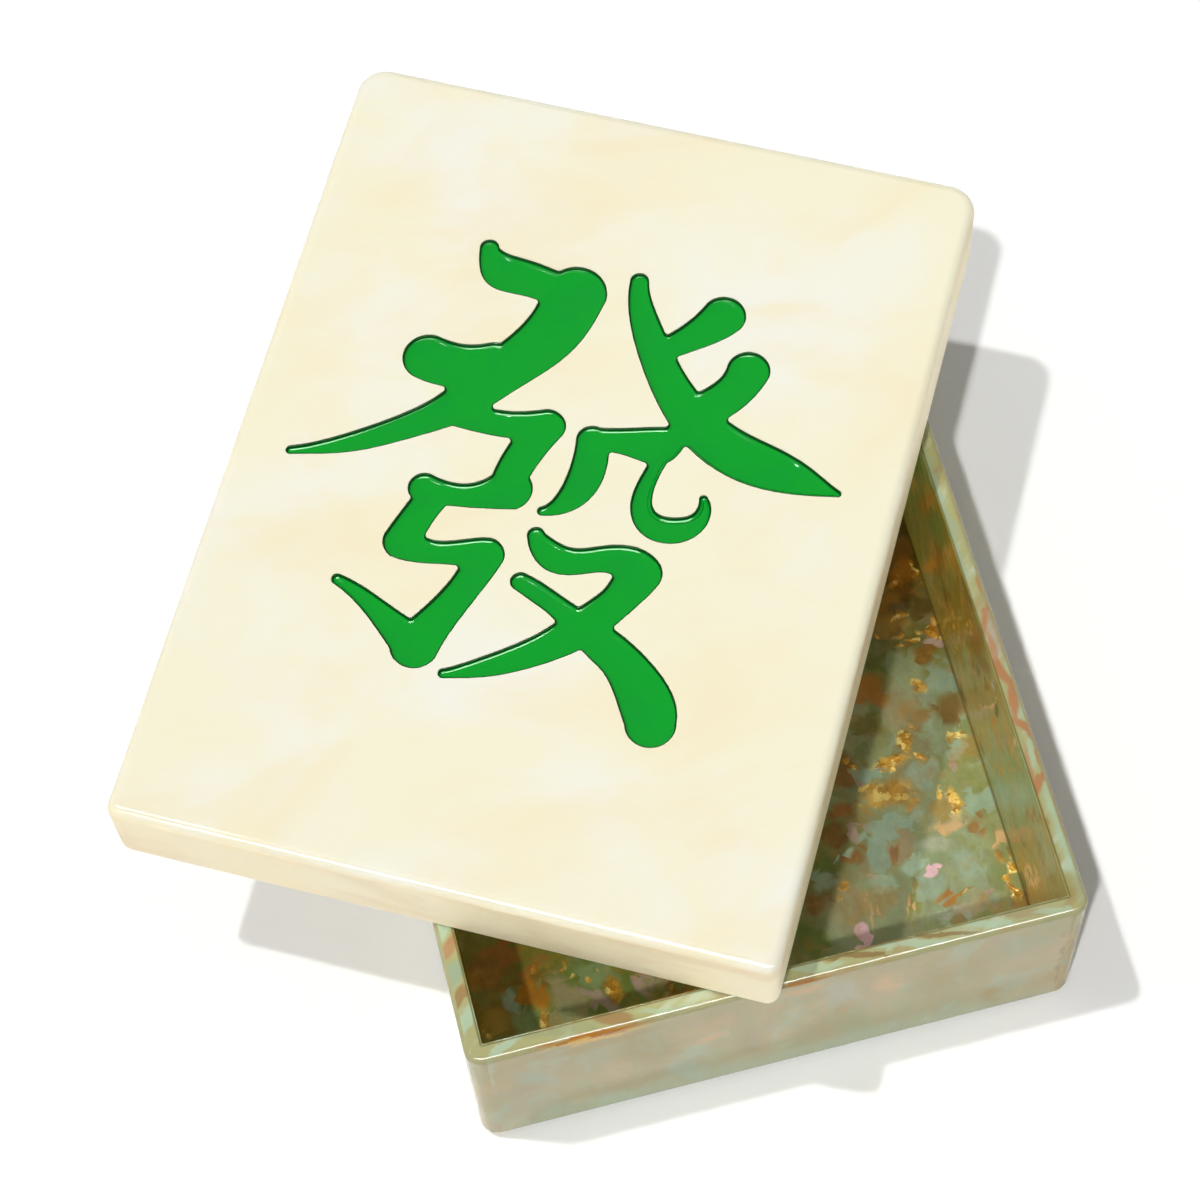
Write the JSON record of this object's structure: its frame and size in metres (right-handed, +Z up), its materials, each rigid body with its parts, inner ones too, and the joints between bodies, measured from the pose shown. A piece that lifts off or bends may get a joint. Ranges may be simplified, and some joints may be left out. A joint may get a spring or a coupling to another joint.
{
  "type": "mahjong case",
  "caption": "Acrylic game case: a deep open tray with a lift-off cap lid shaped like a giant game tile, a green sign inlaid in its top, lying askew on the rim.",
  "frame": {"origin": "middle of the tray's flat underside", "axes": "+Z up, +Y to the back along the tray's length, +X to the right across its width"},
  "size_m": [0.2643, 0.2864, 0.093],
  "materials": {
    "tray_acrylic": "polished sheet filled with shell-like streaks and glints, olive, orange-brown, teal and pale green",
    "lid_acrylic": "polished cream sheet with faint warm clouds",
    "inlay_acrylic": "glossy green filling, sunk a little below the lid's face"
  },
  "bodies": {
    "tray": {"tray_floor": "tray_acrylic", "tray_left_wall": "tray_acrylic", "tray_right_wall": "tray_acrylic", "tray_front_wall": "tray_acrylic", "tray_back_wall": "tray_acrylic"},
    "lid": {"lid_top_panel": "lid_acrylic", "lid_left_wall": "lid_acrylic", "lid_right_wall": "lid_acrylic", "lid_front_wall": "lid_acrylic", "lid_back_wall": "lid_acrylic", "inlay_left": "inlay_acrylic", "inlay_right": "inlay_acrylic", "inlay_foot": "inlay_acrylic"}
  },
  "joints": [
    {"name": "lid_lift", "type": "slide", "parent": "tray", "child": "lid", "axis": [0, 0, 1], "range_m": [0, 0.1]}
  ]
}
